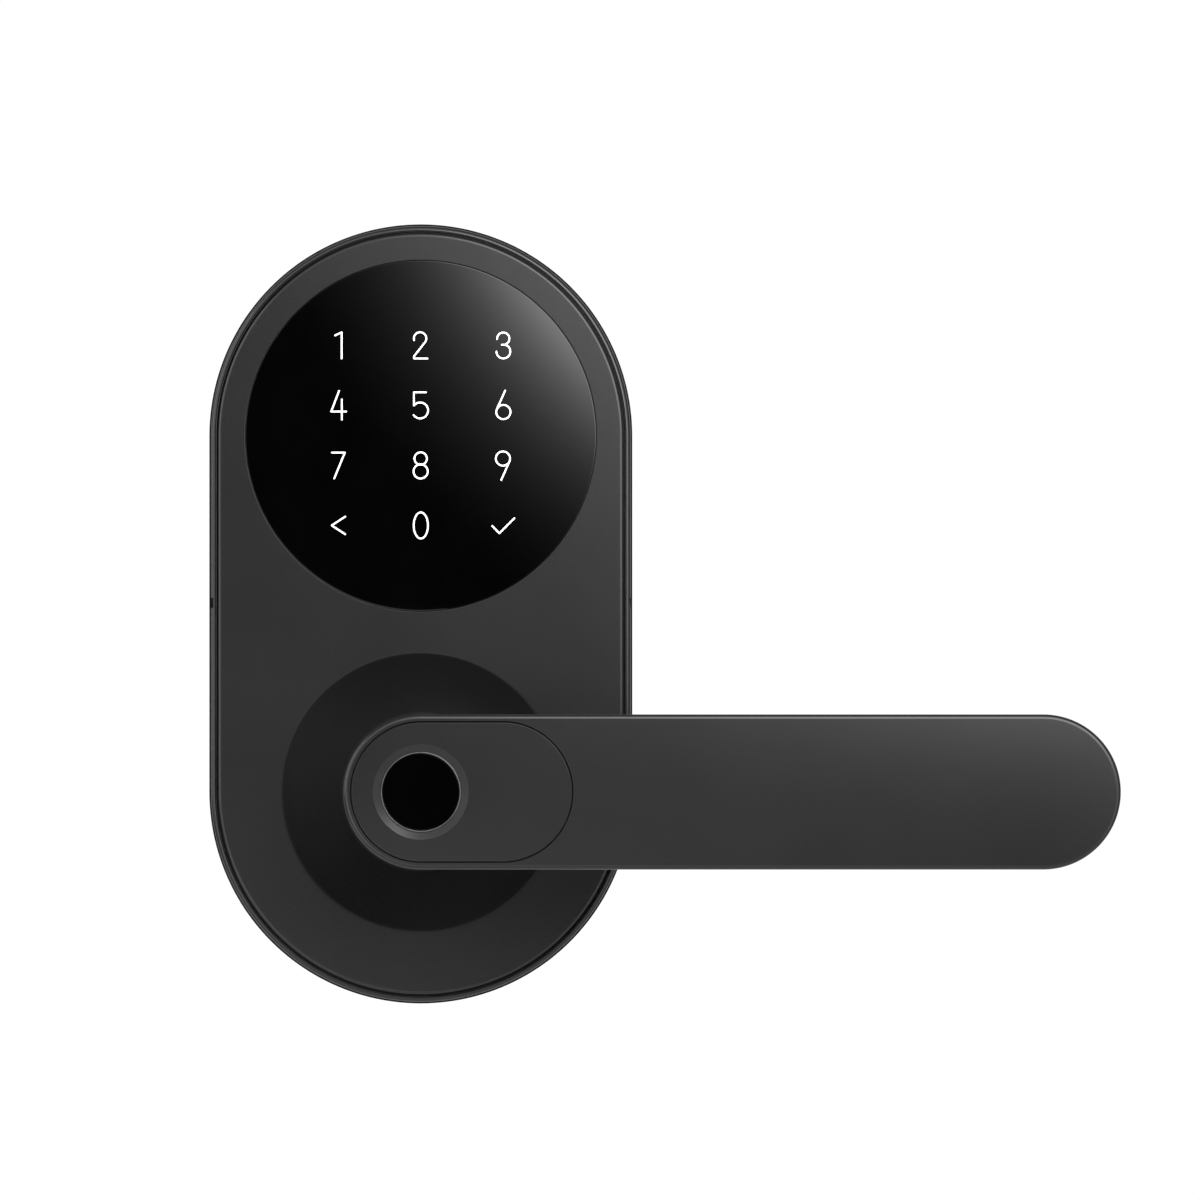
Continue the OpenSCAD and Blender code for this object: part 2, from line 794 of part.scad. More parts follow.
module clutch_motor() color("silver") stand() translate([0, motor_y, motor_z + bracket_t]) difference() {
    intersection() {
        disc(motor_w / 2, 0, motor_len);
        block(motor_w, -motor_h / 2, motor_h, 0, motor_len);
    }
    disc(motor_shaft_r + running_gap, -cut, motor_grip + 2 * cut, small_fn);
}

module motor_bracket() color(STEEL) stand() translate([0, motor_y, 0]) difference() {
    union() {
        block(2 * bracket_half, -motor_h / 2, motor_h, motor_z, bracket_t);
        at_sides(bracket_half - bracket_t / 2)
            block(bracket_t, -motor_h / 2, motor_h, plate_front, motor_z - plate_front + bracket_t);
        at_sides(bracket_screw_x - bracket_t / 2)
            block(bracket_foot + bracket_t, -motor_h / 2, motor_h, plate_front, bracket_t);
    }
    drill(motor_shaft_r + 4 * slide_gap);
    at_sides(bracket_screw_x) disc(small_screw_r + screw_gap, 0, plate_front + 2 * bracket_t, small_fn);
}

module bracket_screws() color(STEEL) stand() at_sides(bracket_screw_x, motor_y)
    translate([0, 0, plate_front + bracket_t])
        screw(small_screw_r, bracket_t + plate_t - small_screw_gap, small_head_r, small_head_t);

module fork_guide_pin() color("silver") stand() translate([0, guide_y, 0]) {
    disc(guide_r - guide_step - screw_gap, gasket_t, plate_t, small_fn);
    disc(guide_r, plate_front, fork_z + fork_t + slide_gap - plate_front, small_fn);
}

// Upright slot through the lower edge of the case, starting at y
module port_slot(w, h, y, length) {
    translate([-(w - h) / 2, y, port_z]) rotate([-90, 0, 0]) linear_extrude(length) stadium(h / 2, w - h);
}

module port_socket() color("silver") stand() difference() {
    port_slot(socket_w, socket_h, port_mouth_y, socket_len);
    port_slot(socket_w - 2 * socket_wall, socket_h - 2 * socket_wall,
        port_mouth_y - cut, socket_len - socket_wall + cut);
}

module port_board() color(BOARD) stand()
    block(port_board_w, port_board_y, port_board_len, port_board_z, port_board_t);

module port_cover() color(RUBBER) stand() difference() {
    intersection() {
        port_slot(port_w - 2 * slide_gap, port_h - 2 * slide_gap, -band_r - cut, band_wall + 4 * cut);
        case_block(band_r, gasket_t, case_depth);
    }
    case_block(band_r - port_skin, 0, case_depth);
}

// ---- Lever ----

module lever_handle() color(SHELL) stand() difference() {
    union() {
        translate([0, 0, lever_back]) rounded_slab(lever_r, lever_run, lever_t, lever_back_edge, lever_edge);
        disc(neck_r, neck_low, lever_back + lever_back_edge + cut - neck_low);
    }
    disc(hub_r + screw_gap, neck_low - cut, hub_top - neck_low + cut);
    disc(lead_channel_r, 0, lever_front, small_fn);
    disc(sensor_board_r + glass_gap, sensor_well_floor, lever_t);
    translate([0, 0, pocket_floor]) linear_extrude(lever_t) stadium(pad_r + pad_gap, pad_run);
    translate([0, 0, grub_z]) radial(grub_r + screw_gap, 0, lever_h);
}

module face_plate() color(SHELL) stand() difference() {
    translate([0, 0, pad_back]) rounded_slab(pad_r, pad_run, pad_t, 0, pad_edge);
    translate([0, 0, sensor_face])
        cylinder(r1 = ring_r + ring_gap, r2 = sink_r, h = sink_depth, $fn = round_fn);
    disc(sink_r, lever_front - sink_rim, cut);
    drill(ring_r + ring_gap, round_fn);
}

module plate_adhesive() color(BLACK) stand() difference() {
    translate([0, 0, pocket_floor]) linear_extrude(bond_t) stadium(pad_r - pad_gap, pad_run);
    drill(sensor_board_r + 2 * glass_gap, round_fn);
}

module fingerprint_sensor() color(BLACK) stand() {
    disc(sensor_r - ring_gap, sensor_seat, sensor_glass_t);
    disc(sensor_flange_r, sensor_seat - sensor_flange_t, sensor_flange_t);
}

module sensor_ring() color("silver") stand() difference() {
    disc(ring_r, sensor_seat, sensor_glass_t);
    drill(sensor_r, round_fn);
}

module sensor_board() color(BOARD) stand() disc(sensor_board_r, sensor_well_floor, sensor_board_t);

module sensor_lead() color(BLACK) stand()
    disc(lead_r, spindle_top + cut, sensor_well_floor - spindle_top - cut, small_fn);

// The clutch's two dogs, or with a margin the slots that take them
module dogs(margin, z, h) {
    at_sides((dog_in + dog_out) / 2)
        block(dog_out - dog_in + 2 * margin, -dog_w / 2 - margin, dog_w + 2 * margin, z, h);
}

module drive_hub() color(STEEL) stand() difference() {
    union() {
        disc(hub_r, flange_z, hub_top - flange_z);
        disc(flange_r, flange_z, flange_t);
        block(lug_w, lug_in, lug_out - lug_in, flange_z, coil_z + coil_rise + wire_r - flange_z);
        block(lug_w, -stop_out, stop_out - lug_in, flange_z, flange_t);
    }
    drill(hub_bore_r, round_fn);
    dogs(dog_gap, flange_z - cut, flange_t + 2 * cut);
    translate([0, 0, grub_z]) radial(grub_r + screw_gap, 0, lever_h);
}

module hub_grub_screw() color(STEEL) stand() translate([0, 0, grub_z]) difference() {
    radial(grub_r, hub_bore_r + grub_sink, neck_r - hub_bore_r - 2 * grub_sink);
    radial(grub_r / 2, neck_r - grub_r, 2 * grub_r, 6);
}

// ---- Spindle, clutch and drive screw ----

// Square rod on the spindle's axis
module square_rod(w, z, h) {
    translate([0, 0, z]) linear_extrude(h) square(w, center = true);
}

module spindle() color("silver") stand() square_rod(spindle_w, -spindle_reach, spindle_reach + spindle_top);

module spindle_collar() color(STEEL) stand() difference() {
    union() {
        disc(collar_r, gasket_t, plate_t + 2 * screw_gap);
        disc(collar_flange_r, plate_front + screw_gap, collar_flange_t);
    }
    square_rod(spindle_w + 2 * screw_gap, 0, case_depth);
}

module clutch_plate() color("silver") stand() difference() {
    union() {
        disc(clutch_r, disc_z, clutch_t);
        dogs(0, disc_z + clutch_t / 2, dog_top - disc_z - clutch_t / 2);
    }
    square_rod(spindle_w + 2 * slide_gap, 0, case_depth);
}

module clutch_fork() color("#d8d4c8") stand() translate([0, 0, fork_z]) difference() {
    union() {
        difference() {
            disc(clutch_r + fork_rim, 0, fork_t, fine);
            block(2 * cage_r, -2 * cage_r - fork_drop, 2 * cage_r, -cut, fork_t + 2 * cut);
        }
        block(stem_w, clutch_r, motor_y - clutch_r, 0, fork_t);
        translate([0, motor_y, 0]) disc(nut_r, 0, fork_t, small_fn);
    }
    drill(fork_bore_r, fine);
    disc(clutch_r + fork_groove_gap, (fork_t - clutch_t) / 2 - slide_gap, clutch_t + 2 * slide_gap, fine);
    translate([0, motor_y, 0]) drill(motor_shaft_r + running_gap);
    translate([0, guide_y, 0]) drill(guide_r + running_gap);
}

module motor_screw() color("gold") stand() translate([0, motor_y, 0])
    disc(motor_shaft_r, motor_screw_z, motor_z + bracket_t + motor_grip - motor_screw_z, small_fn);

door_gasket();
back_plate();
side_band();
front_panel();
keypad_glass();
glass_adhesive();
key_legends();
light_mask();
light_diffusers();
key_leds();
keypad_board();
board_chips();
buzzer();
board_sockets();
board_screws();
case_screws();
neck_bush();
spring_cage();
cage_screws();
return_spring();
mounting_posts();
cable_grommet();
clutch_motor();
motor_bracket();
bracket_screws();
fork_guide_pin();
port_socket();
port_board();
port_cover();
lever_handle();
face_plate();
plate_adhesive();
fingerprint_sensor();
sensor_ring();
sensor_board();
sensor_lead();
drive_hub();
hub_grub_screw();
spindle();
spindle_collar();
clutch_plate();
clutch_fork();
motor_screw();
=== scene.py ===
import json
import math

import bmesh
import bpy
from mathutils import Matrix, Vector, geometry


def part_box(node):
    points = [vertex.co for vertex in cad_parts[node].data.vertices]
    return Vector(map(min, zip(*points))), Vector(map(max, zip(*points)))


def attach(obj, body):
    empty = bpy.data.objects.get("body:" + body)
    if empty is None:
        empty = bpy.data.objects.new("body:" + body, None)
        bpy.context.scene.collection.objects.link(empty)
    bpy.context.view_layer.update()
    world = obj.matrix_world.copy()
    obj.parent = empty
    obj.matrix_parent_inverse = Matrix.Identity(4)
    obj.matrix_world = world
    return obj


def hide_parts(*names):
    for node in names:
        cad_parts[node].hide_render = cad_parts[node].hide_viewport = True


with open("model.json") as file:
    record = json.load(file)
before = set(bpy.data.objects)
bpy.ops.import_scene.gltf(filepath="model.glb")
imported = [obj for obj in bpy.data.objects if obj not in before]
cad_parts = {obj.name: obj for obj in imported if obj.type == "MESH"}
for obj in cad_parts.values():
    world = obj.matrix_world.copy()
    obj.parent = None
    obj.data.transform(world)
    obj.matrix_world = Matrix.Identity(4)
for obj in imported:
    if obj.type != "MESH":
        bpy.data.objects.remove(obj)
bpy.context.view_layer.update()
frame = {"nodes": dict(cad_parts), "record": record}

# Keypad smart lock, outside unit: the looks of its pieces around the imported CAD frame.
# Pieces are drawn in millimetres as (across, up, out), where out is the distance from the door.

MM = 0.001
ROUND = 192
SMALL_ROUND = 64
FILLET_STEPS = 6
SUPPORT = 0.15
SHARP_ANGLE = math.radians(35)


def at(across, up, out):
    """A point of the lock, in metres in the row frame."""
    return Vector((across, -out, up)) * MM


class Span:
    """Extent of a CAD node in millimetres."""

    def __init__(self, node):
        low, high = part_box(node)
        self.left, self.right = low.x / MM, high.x / MM
        self.low, self.high = low.z / MM, high.z / MM
        self.back, self.front = -high.y / MM, -low.y / MM


# ---- Sizes, from the CAD nodes' boxes, and edge radii that only the looks have ----

gasket = Span("door_gasket")
band = Span("side_band")
panel = Span("front_panel")
glass = Span("keypad_glass")
bush = Span("neck_bush")
lever = Span("lever_handle")
plate = Span("face_plate")
sensor = Span("fingerprint_sensor")
ring = Span("sensor_ring")
sensor_board = Span("sensor_board")
hub = Span("drive_hub")
adhesive = Span("plate_adhesive")
back_plate = Span("back_plate")
spindle = Span("spindle")
posts = Span("mounting_posts")
mask = Span("light_mask")
grub = Span("hub_grub_screw")
port = Span("port_cover")

RISE = band.high - band.right
GASKET_W = 8
GASKET_EDGE = 0.2
GLASS_TO_PANEL_BACK = 2.9
PANEL_BACK = glass.front - GLASS_TO_PANEL_BACK
GLASS_EDGE = 28.0
DISH_R = 24.9
DISH_FLOOR_R = 14.2
DISH_FLOOR = 21
DISH_DEPTH = 7
DISH_WALL = 2
DISH_CENTRE = panel.front + (DISH_R**2 - DISH_FLOOR_R**2 - DISH_DEPTH**2) / (2 * DISH_DEPTH)
BUSH_LIP, BUSH_WALL, BUSH_FLANGE = 0.9, 1.25, 1.0
RUNNING_GAP = 0.05
NOTCH_UP = 34
NOTCH_HALF = (0.4, 0.9, 6)
PORT_GAP, PORT_REACH = 0.1, 3
HUB_R = 8.55
GRUB_HOLE_R = 1.55
LEAD_R = 2.6
SINK = 1.3
POST_R, POST_BORE_R, SPIGOT_R = 4.0, 2.1, 3.0


# ---- Outlines and profiles ----


def circle(centre=(0, 0), count=ROUND):
    """Outline function of a circle: gives its points for a radius."""
    turns = [2 * math.pi * i / count for i in range(count)]
    return lambda r: [(centre[0] + r * math.cos(a), centre[1] + r * math.sin(a)) for a in turns]


def stadium(run, upright=False, count=ROUND):
    """Outline function of a slab with round ends, which runs along X, or up if upright."""
    half = [math.pi * i / (count // 2) + math.pi / 2 for i in range(count // 2 + 1)]

    def outline(r):
        first = [(r * math.cos(a), r * math.sin(a)) for a in half]
        second = [(run - r * math.cos(a), -r * math.sin(a)) for a in half]
        points = first + second
        return [(-y, x) for x, y in points] if upright else points

    return outline


def rounded(corners, closed=False):
    """Profile through (distance, out, radius) corners, with a point on both sides of each fillet."""
    points = []
    count = len(corners)
    for i, (x, y, radius) in enumerate(corners):
        here = Vector((x, y))
        ends = not closed and i in (0, count - 1)
        if ends or not radius:
            points.append(here)
            continue
        before = Vector(corners[i - 1][:2]) - here
        after = Vector(corners[(i + 1) % count][:2]) - here
        half = before.angle(after) / 2
        reach = radius / math.tan(half)
        inward = (before.normalized() + after.normalized()).normalized()
        centre = here + inward * radius / math.sin(half)
        start = here + before.normalized() * reach
        end = here + after.normalized() * reach
        sweep = math.pi - 2 * half
        spare = min(SUPPORT, 0.3 * (before.length - reach), 0.3 * (after.length - reach))
        points.append(start + before.normalized() * spare)
        for k in range(FILLET_STEPS + 1):
            t = k / FILLET_STEPS
            arm = math.sin((1 - t) * sweep) * (start - centre) + math.sin(t * sweep) * (end - centre)
            points.append(centre + arm / math.sin(sweep))
        points.append(end + after.normalized() * spare)
    return [tuple(p) for p in points]


def inside(point, outline):
    """True if a flat point lies inside an outline."""
    hit = False
    x, y = point
    for (x0, y0), (x1, y1) in zip(outline, outline[1:] + outline[:1]):
        if (y0 > y) != (y1 > y) and x < x0 + (y - y0) * (x1 - x0) / (y1 - y0):
            hit = not hit
    return hit


# ---- Meshes ----


class Shell:
    """Closed mesh made of walls swept along outlines and of flat faces between their end loops."""

    def __init__(self):
        self.bm = bmesh.new()

    def loop(self, outline, distance, out):
        if distance < 1e-6:
            x, up = outline(0)[0]
            return [self.bm.verts.new(at(x, up, out))]
        return [self.bm.verts.new(at(x, up, out)) for x, up in outline(distance)]

    def join(self, a, b):
        """Faces between two loops, of which one may be a single point."""
        count = max(len(a), len(b))
        for i in range(count):
            j = (i + 1) % count
            corners = [a[i % len(a)], a[j % len(a)], b[j % len(b)], b[i % len(b)]]
            self.bm.faces.new(list(dict.fromkeys(corners)))

    def wall(self, outline, profile, closed=False):
        """Sweeps a profile round an outline and gives its first and last loops."""
        loops = [self.loop(outline, r, out) for r, out in profile]
        for a, b in zip(loops, loops[1:]):
            self.join(a, b)
        if closed:
            self.join(loops[-1], loops[0])
        return loops[0], loops[-1]

    def face(self, outer, *holes, pitch=0):
        """Flat face inside a loop and outside its holes. With a pitch it has inner points to bend."""
        rims = [outer, *holes]
        flats = [[(v.co.x / MM, v.co.z / MM) for v in rim] for rim in rims]
        points = [p for flat in flats for p in flat]
        edges, first = [], 0
        for flat in flats:
            edges += [(first + i, first + (i + 1) % len(flat)) for i in range(len(flat))]
            first += len(flat)
        if pitch:
            points += inner_points(flats, pitch)
        verts = [v for rim in rims for v in rim]
        out = outer[0].co.y
        verts += [self.bm.verts.new((x * MM, out, up * MM)) for x, up in points[len(verts):]]
        flat_points = [Vector(p) for p in points]
        found = geometry.delaunay_2d_cdt(flat_points, edges, [], 1, 1e-6, True)
        places, faces, sources = found[0], found[2], found[3]
        for corners in faces:
            middle = sum((places[c] for c in corners), Vector((0, 0))) / len(corners)
            if not any(inside(middle, hole) for hole in flats[1:]):
                self.bm.faces.new([verts[sources[c][0]] for c in corners])

    def bend(self, rule):
        """Moves every point by a rule that gives a new (across, up, out)."""
        for v in self.bm.verts:
            v.co = at(*rule(v.co.x / MM, v.co.z / MM, -v.co.y / MM))

    def mesh(self, name):
        bmesh.ops.recalc_face_normals(self.bm, faces=self.bm.faces)
        mesh = bpy.data.meshes.new(name)
        self.bm.to_mesh(mesh)
        self.bm.free()
        crease(mesh)
        return mesh


def inner_points(flats, pitch):
    """Grid points inside the first outline and outside the others, clear of their edges."""
    xs, ys = zip(*flats[0])
    points = []
    for i in range(math.ceil((max(xs) - min(xs)) / pitch)):
        for j in range(math.ceil((max(ys) - min(ys)) / pitch)):
            point = (min(xs) + (i + 0.5) * pitch, min(ys) + (j + 0.5) * pitch)
            near = min((point[0] - x) ** 2 + (point[1] - y) ** 2 for flat in flats for x, y in flat)
            in_hole = any(inside(point, flat) for flat in flats[1:])
            if near > (pitch / 2) ** 2 and inside(point, flats[0]) and not in_hole:
                points.append(point)
    return points


def crease(mesh):
    """Smooth shading with hard edges where the surface turns sharply."""
    bm = bmesh.new()
    bm.from_mesh(mesh)
    for face in bm.faces:
        face.smooth = True
    for edge in bm.edges:
        edge.smooth = edge.calc_face_angle(math.pi) < SHARP_ANGLE
    bm.to_mesh(mesh)
    bm.free()


def add_object(name, data):
    """An object in the scene that shows a mesh, a light or a camera."""
    made = bpy.data.objects.new(name, data)
    bpy.context.scene.collection.objects.link(made)
    return made


def piece(name, mesh, body, slot, node):
    """A piece of the lock that rides on a body, takes a slot's material and stands for a CAD node."""
    made = add_object(name, mesh)
    mesh.materials.append(MATERIALS[slot])
    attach(made, body)
    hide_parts(node)


def block(centre, half):
    """Shell of a box, from its middle and half its sides as (across, up, out)."""
    shell = Shell()
    bmesh.ops.create_cube(shell.bm, size=2)
    for v in shell.bm.verts:
        v.co = at(*(c + h * n for c, h, n in zip(centre, half, (v.co.x, v.co.z, -v.co.y))))
    return shell


def upright_prism(points, start, end, out):
    """Shell that runs along the up axis, with (across, out) points round its section."""
    shell = Shell()
    loops = []
    for up in (start, end):
        loops.append([shell.bm.verts.new(at(x, up, out + y)) for x, y in points])
    shell.join(*loops)
    for loop in loops:
        shell.bm.faces.new(loop)
    return shell


def carve(mesh, shell):
    """The mesh with a shell's shape cut away. Both the mesh and the shell are used up."""
    cutter = add_object("cutter", shell.mesh("cutter"))
    holder = add_object("holder", mesh)
    cut = holder.modifiers.new("cut", "BOOLEAN")
    cut.object = cutter
    cut.operation = "DIFFERENCE"
    cut.solver = "EXACT"
    graph = bpy.context.evaluated_depsgraph_get()
    result = bpy.data.meshes.new_from_object(holder.evaluated_get(graph))
    for used in (holder, cutter):
        bpy.data.objects.remove(used)
    crease(result)
    return result


# ---- Materials ----


class Surface:
    """Principled material built up from procedural nodes that follow the piece."""

    def __init__(self, name, **sockets):
        self.material = bpy.data.materials.new(name)
        self.material.use_nodes = True
        tree = self.material.node_tree
        self.nodes, self.links = tree.nodes, tree.links
        self.bsdf = self.nodes["Principled BSDF"]
        for socket, value in sockets.items():
            self.bsdf.inputs[socket.replace("_", " ")].default_value = value
        self.place = self.node("ShaderNodeTexCoord").outputs["Object"]

    def node(self, kind, **settings):
        made = self.nodes.new(kind)
        for key, value in settings.items():
            setattr(made, key, value)
        return made

    def stretch(self, scale):
        """Coordinates stretched along the axes, for brushed or drawn grain."""
        mapping = self.node("ShaderNodeMapping")
        mapping.inputs["Scale"].default_value = scale
        self.links.new(self.place, mapping.inputs["Vector"])
        return mapping.outputs["Vector"]

    def noise(self, size, detail, place=None):
        """Noise whose grains are about size millimetres."""
        made = self.node("ShaderNodeTexNoise")
        made.inputs["Scale"].default_value = 1 / (size * MM)
        made.inputs["Detail"].default_value = detail
        self.links.new(place or self.place, made.inputs["Vector"])
        return made.outputs["Fac"]

    def cells(self, size):
        """Cells about size millimetres across, each with its own random value."""
        made = self.node("ShaderNodeTexVoronoi")
        made.inputs["Scale"].default_value = 1 / (size * MM)
        self.links.new(self.place, made.inputs["Vector"])
        return made.outputs["Color"]

    def spread(self, value, low, high, start=0.3, end=0.7):
        """Maps a noise value to a range."""
        made = self.node("ShaderNodeMapRange")
        self.links.new(value, made.inputs["Value"])
        limits = {"From Min": start, "From Max": end, "To Min": low, "To Max": high}
        for socket, number in limits.items():
            made.inputs[socket].default_value = number
        return made.outputs["Result"]

    def math(self, operation, a, b):
        made = self.node("ShaderNodeMath", operation=operation)
        for socket, value in zip(made.inputs, (a, b)):
            if isinstance(value, (int, float)):
                socket.default_value = value
            else:
                self.links.new(value, socket)
        return made.outputs[0]

    def colour(self, low, high, factor, socket="Base Color"):
        """Blends two colours by a factor."""
        made = self.node("ShaderNodeMix", data_type="RGBA")
        made.inputs["A"].default_value = (*low, 1)
        made.inputs["B"].default_value = (*high, 1)
        self.links.new(factor, made.inputs["Factor"])
        self.links.new(made.outputs["Result"], self.bsdf.inputs[socket])

    def rough(self, value):
        self.links.new(value, self.bsdf.inputs["Roughness"])

    def bump(self, *layers):
        """Relief from (height value, depth in millimetres) layers. Gives the finished material."""
        normal = None
        for height, depth in layers:
            made = self.node("ShaderNodeBump")
            made.inputs["Distance"].default_value = depth * MM
            self.links.new(height, made.inputs["Height"])
            if normal:
                self.links.new(normal, made.inputs["Normal"])
            normal = made.outputs["Normal"]
        self.links.new(normal, self.bsdf.inputs["Normal"])
        return self.material


def scaled(colour, factor):
    return tuple(c * factor for c in colour)


def satin_paint(name, tone):
    """Charcoal powder paint with a fine grain, faint cloudiness and slightly polished patches."""
    s = Surface(name, IOR=1.5)
    grain = s.noise(0.22, 3)
    cloud = s.noise(26, 2)
    mottle = s.spread(s.math("ADD", grain, cloud), 0, 1, 0.75, 1.25)
    s.colour(scaled(tone, 0.92), scaled(tone, 1.08), mottle)
    s.rough(s.math("ADD", s.spread(grain, 0.238, 0.258), s.spread(cloud, -0.006, 0.006)))
    return s.bump((grain, 0.0025), (s.noise(0.9, 2), 0.002))


def polished_glass(name, tone, **sockets):
    """Black glass: nearly perfect gloss, with a trace of haze from fingers."""
    s = Surface(name, IOR=1.52, **sockets)
    haze = s.noise(9, 4)
    s.colour(tone, scaled(tone, 1.5), s.spread(haze, 0, 1))
    s.rough(s.spread(haze, 0.018, 0.03))
    return s.bump((s.noise(14, 1), 0.0004))


def lit_print(name):
    """White characters lit from behind, a little stronger where the light behind them is."""
    s = Surface(name, Roughness=0.5)
    glow = s.spread(s.noise(2.4, 1), 0.94, 1.02)
    s.bsdf.inputs["Base Color"].default_value = (0.8, 0.8, 0.8, 1)
    s.colour((0.97, 0.985, 1), (1, 1, 1), s.noise(3, 1), "Emission Color")
    s.links.new(glow, s.bsdf.inputs["Emission Strength"])
    return s.material


def matt(name, tone, rough, **sockets):
    """Moulded rubber or plastic with a fine spark-eroded texture."""
    s = Surface(name, **sockets)
    texture = s.noise(0.3, 3)
    cloud = s.noise(12, 2)
    s.colour(scaled(tone, 0.85), scaled(tone, 1.15), s.spread(cloud, 0, 1))
    s.rough(s.spread(texture, rough - 0.06, rough + 0.06))
    return s.bump((texture, 0.01))


def plated(name, tone, rough, stretch=(1, 1, 1)):
    """Zinc-plated or drawn steel: faint spangle, fine lines and patches of different gloss."""
    s = Surface(name, Metallic=1.0)
    lines = s.noise(0.35, 4, s.stretch(stretch))
    patch = s.noise(7, 3)
    spangle = s.spread(s.math("ADD", s.cells(1.6), patch), 0, 1, 0.6, 1.4)
    s.colour(scaled(tone, 0.82), scaled(tone, 1.12), spangle)
    streaks = s.spread(lines, rough - 0.05, rough + 0.05)
    s.rough(s.math("ADD", streaks, s.spread(patch, -0.05, 0.06)))
    return s.bump((lines, 0.004))


def solder_mask(name):
    """Green board with copper tracks that show through the mask."""
    s = Surface(name, Roughness=0.35)
    tracks = s.node("ShaderNodeTexBrick")
    tracks.inputs["Scale"].default_value = 260
    tracks.inputs["Mortar Size"].default_value = 0.06
    s.links.new(s.place, tracks.inputs["Vector"])
    s.colour((0.012, 0.07, 0.033), (0.03, 0.13, 0.06), tracks.outputs["Fac"])
    return s.bump((tracks.outputs["Fac"], 0.03))


CHARCOAL = (0.012, 0.012, 0.0122)
DULL = 0.15

MATERIALS = {
    "case_paint": satin_paint("case_paint", CHARCOAL),
    "lever_paint": satin_paint("lever_paint", CHARCOAL),
    "black_glass": polished_glass("black_glass", (0.0006, 0.0006, 0.0007)),
    "sensor_glass": polished_glass("sensor_glass", (0.0006, 0.0006, 0.0006),
                                   Specular_IOR_Level=DULL),
    "legend_light": lit_print("legend_light"),
    "black_rubber": matt("black_rubber", (0.003, 0.003, 0.003), 0.7, Specular_IOR_Level=DULL),
    "black_plastic": matt("black_plastic", (0.015, 0.015, 0.015), 0.5),
    "white_plastic": matt("white_plastic", (0.62, 0.6, 0.55), 0.4),
    "circuit_board": solder_mask("circuit_board"),
    "plated_steel": plated("plated_steel", (0.46, 0.465, 0.47), 0.34),
    "screw_steel": plated("screw_steel", (0.5, 0.5, 0.5), 0.3),
    "spindle_steel": plated("spindle_steel", (0.42, 0.42, 0.43), 0.3, (1, 0.04, 1)),
    "spring_steel": plated("spring_steel", (0.5, 0.5, 0.51), 0.22),
    "bright_metal": plated("bright_metal", (0.2, 0.2, 0.205), 0.34),
    "brass": plated("brass", (0.6, 0.42, 0.18), 0.3),
}


# ---- Camera, light and floor ----

# Width of the picture, and the camera's place.
VIEW_WIDTH = 215.64 * MM
CAMERA_AT = at(32.2, 34.5, 1000)

# Round soft box: its middle, the radius of its even part, and how its light fades outside that.
BOX_AT = at(160.4, 196, 315)
BOX_R, BOX_FEATHER, BOX_FADES = 150 * MM, 14.5 * MM, 5
BOX_POWER = 2.33

# Other soft boxes: name, place and size in metres, and power. They face LIGHT_TARGET.
LIGHTS = [
    ("low_left", (-0.15, -0.55, -0.21), (0.4, 0.4), 0.5),
    ("left_strip", (-0.55, -0.14, 0.22), (0.2, 0.5), 1.2),
]
LIGHT_TARGET = (0.03, -0.03, 0.03)

# The world's light by its angle from straight in front: dark, bright, dim, and faint behind.
DARK_ANGLE, SIDE_ANGLE, EDGE_ANGLE = math.radians(9), math.radians(42), math.radians(76)
BEHIND_ANGLES = math.radians(110), math.radians(150)
DARK, SIDE, EDGE, BEHIND = 0.006, 1.85, 0.12, 0.3
# It is weaker from below, by its angle from straight down.
BELOW_FROM, BELOW_TO = math.radians(20), math.radians(66)
BELOW = 0.1
BACKDROP = 1.02
LARGEST_COSINE = 0.9999999

FLOOR_UP = -0.25
FLOOR_R = 0.65


def add_camera():
    """Camera square on to the lock, without perspective, as the photo shows none."""
    data = bpy.data.cameras.new("camera")
    data.type, data.ortho_scale = "ORTHO", VIEW_WIDTH
    camera = add_object("camera", data)
    camera.location = CAMERA_AT
    camera.rotation_euler = (math.pi / 2, 0, 0)
    bpy.context.scene.camera = camera


def add_light(name, place, size, power):
    """Rectangular soft box that faces the lock."""
    data = bpy.data.lights.new(name, "AREA")
    data.shape = "RECTANGLE"
    data.size, data.size_y = size
    data.energy = power
    light = add_object(name, data)
    light.location = place
    heading = Vector(LIGHT_TARGET) - Vector(place)
    light.rotation_euler = heading.to_track_quat("-Z", "Y").to_euler()


def add_soft_box():
    """Round soft box at upper right. The domed glass reflects its feathered edge."""
    data = bpy.data.lights.new("soft_box", "AREA")
    data.shape = "DISK"
    data.size = 2 * (BOX_R + BOX_FADES * BOX_FEATHER)
    data.energy = BOX_POWER
    data.use_nodes = True
    nodes, links = data.node_tree.nodes, data.node_tree.links
    away = nodes.new("ShaderNodeVectorMath")
    away.operation = "DISTANCE"
    links.new(nodes.new("ShaderNodeNewGeometry").outputs["Position"], away.inputs[0])
    away.inputs[1].default_value = BOX_AT
    value = away.outputs["Value"]
    steps = [("SUBTRACT", BOX_R), ("MAXIMUM", 0.0), ("DIVIDE", -BOX_FEATHER), ("EXPONENT", None),
             ("SUBTRACT", math.exp(-BOX_FADES))]
    for operation, number in steps:
        made = nodes.new("ShaderNodeMath")
        made.operation = operation
        links.new(value, made.inputs[0])
        if number is not None:
            made.inputs[1].default_value = number
        value = made.outputs[0]
    links.new(value, nodes["Emission"].inputs["Strength"])
    light = add_object("soft_box", data)
    light.location = BOX_AT
    light.rotation_euler = (-math.pi / 2, 0, math.pi)
    light.visible_camera = False


